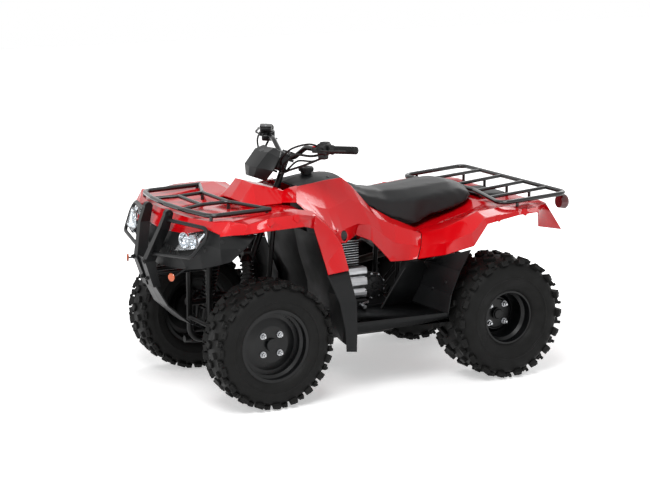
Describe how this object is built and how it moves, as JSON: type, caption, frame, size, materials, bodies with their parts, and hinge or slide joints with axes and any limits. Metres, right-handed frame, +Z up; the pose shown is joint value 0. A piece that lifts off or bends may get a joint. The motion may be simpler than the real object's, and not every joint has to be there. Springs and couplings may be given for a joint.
{
  "type": "quad bike",
  "caption": "Four-wheeled utility quad bike with straddle seat, handlebar steering, knobby tyres, front and rear tube racks and a front guard.",
  "frame": {"origin": "floor level, below the middle of the vehicle's bounding box", "axes": "+X forward, +Y to the rider's left, +Z up"},
  "size_m": [1.9048, 1.03, 1.0977],
  "materials": {
    "red_plastic": "high gloss moulded in colour",
    "black_plastic": "satin grained",
    "frame_paint": "satin black",
    "rack_paint": "gloss black",
    "engine_black": "black painted casting",
    "bright_alloy": "bare cast",
    "exhaust_steel": "heat resistant dark",
    "spring_steel": "gloss",
    "zinc_steel": "plated",
    "rim_paint": "satin black",
    "tyre_rubber": "matt rubber",
    "grip_rubber": "ribbed",
    "seat_vinyl": "grained vinyl",
    "lamp_clear": "clear",
    "amber_lens": "moulded amber",
    "red_lens": "dark red lens"
  },
  "bodies": {
    "chassis": {"a_arms": "frame_paint", "front_shocks": "spring_steel", "swingarm": "frame_paint", "rear_shock": "spring_steel", "main_frame": "frame_paint", "crankcase": "engine_black", "cylinder": "engine_black", "generator_cover": "bright_alloy", "exhaust": "exhaust_steel", "front_fender": "red_plastic", "hood": "red_plastic", "side_panel_left": "red_plastic", "side_panel_right": "red_plastic", "fuel_valve": "black_plastic", "rear_fender": "red_plastic", "front_fascia": "black_plastic", "headlights": "lamp_clear", "mudguards": "black_plastic", "footboards": "black_plastic", "tank_cover": "black_plastic", "fuel_cap": "black_plastic", "seat": "seat_vinyl", "tail_cover": "black_plastic", "front_rack": "rack_paint", "rear_rack": "rack_paint", "front_guard": "frame_paint", "front_reflectors": "amber_lens", "tail_light": "red_lens", "skid_plate": "frame_paint", "tow_hitch": "frame_paint", "foot_pedals": "frame_paint"},
    "steering": {"steering_shaft": "frame_paint", "handlebar": "rack_paint", "grips": "grip_rubber", "hand_controls": "black_plastic", "handlebar_shield": "black_plastic"},
    "knuckle_left": {"knuckle_left": "frame_paint"},
    "knuckle_right": {"knuckle_right": "frame_paint"},
    "tie_rod_left": {"tie_rod_left": "zinc_steel"},
    "tie_rod_right": {"tie_rod_right": "zinc_steel"},
    "front_wheel_left": {"front_tyre_left": "tyre_rubber", "front_rim_left": "rim_paint"},
    "front_wheel_right": {"front_tyre_right": "tyre_rubber", "front_rim_right": "rim_paint"},
    "rear_axle": {"rear_axle": "zinc_steel", "rear_tyre_left": "tyre_rubber", "rear_rim_left": "rim_paint", "rear_tyre_right": "tyre_rubber", "rear_rim_right": "rim_paint"}
  },
  "joints": [
    {"name": "handlebar_steer", "type": "hinge", "parent": "chassis", "child": "steering", "pos_m": [0.51812, 0, 0.32204], "axis": [-0.3746, 0, 0.9272], "range_deg": [-35, 35]},
    {"name": "knuckle_left_steer", "type": "hinge", "parent": "chassis", "child": "knuckle_left", "pos_m": [0.543, 0.309, 0.272], "axis": [-0.0698, 0, 0.9976], "range_deg": [-35, 35]},
    {"name": "tie_rod_left_pivot", "type": "hinge", "parent": "knuckle_left", "child": "tie_rod_left", "pos_m": [0.48315, 0.309, 0.26782], "axis": [-0.0698, 0, 0.9976], "range_deg": [-35, 35]},
    {"name": "front_left_spin", "type": "hinge", "parent": "knuckle_left", "child": "front_wheel_left", "pos_m": [0.543, 0.385, 0.272], "axis": [0, 1, 0], "continuous": true},
    {"name": "knuckle_right_steer", "type": "hinge", "parent": "chassis", "child": "knuckle_right", "pos_m": [0.543, -0.309, 0.272], "axis": [-0.0698, 0, 0.9976], "range_deg": [-35, 35]},
    {"name": "tie_rod_right_pivot", "type": "hinge", "parent": "knuckle_right", "child": "tie_rod_right", "pos_m": [0.48315, -0.309, 0.26782], "axis": [-0.0698, 0, 0.9976], "range_deg": [-35, 35]},
    {"name": "front_right_spin", "type": "hinge", "parent": "knuckle_right", "child": "front_wheel_right", "pos_m": [0.543, -0.385, 0.272], "axis": [0, 1, 0], "continuous": true},
    {"name": "rear_axle_spin", "type": "hinge", "parent": "chassis", "child": "rear_axle", "pos_m": [-0.588, 0, 0.272], "axis": [0, 1, 0], "continuous": true}
  ],
  "couplings": [
    {"joint": "knuckle_left_steer", "follows": "handlebar_steer", "ratio": 1},
    {"joint": "tie_rod_left_pivot", "follows": "handlebar_steer", "ratio": -1},
    {"joint": "knuckle_right_steer", "follows": "handlebar_steer", "ratio": 1},
    {"joint": "tie_rod_right_pivot", "follows": "handlebar_steer", "ratio": -1}
  ]
}
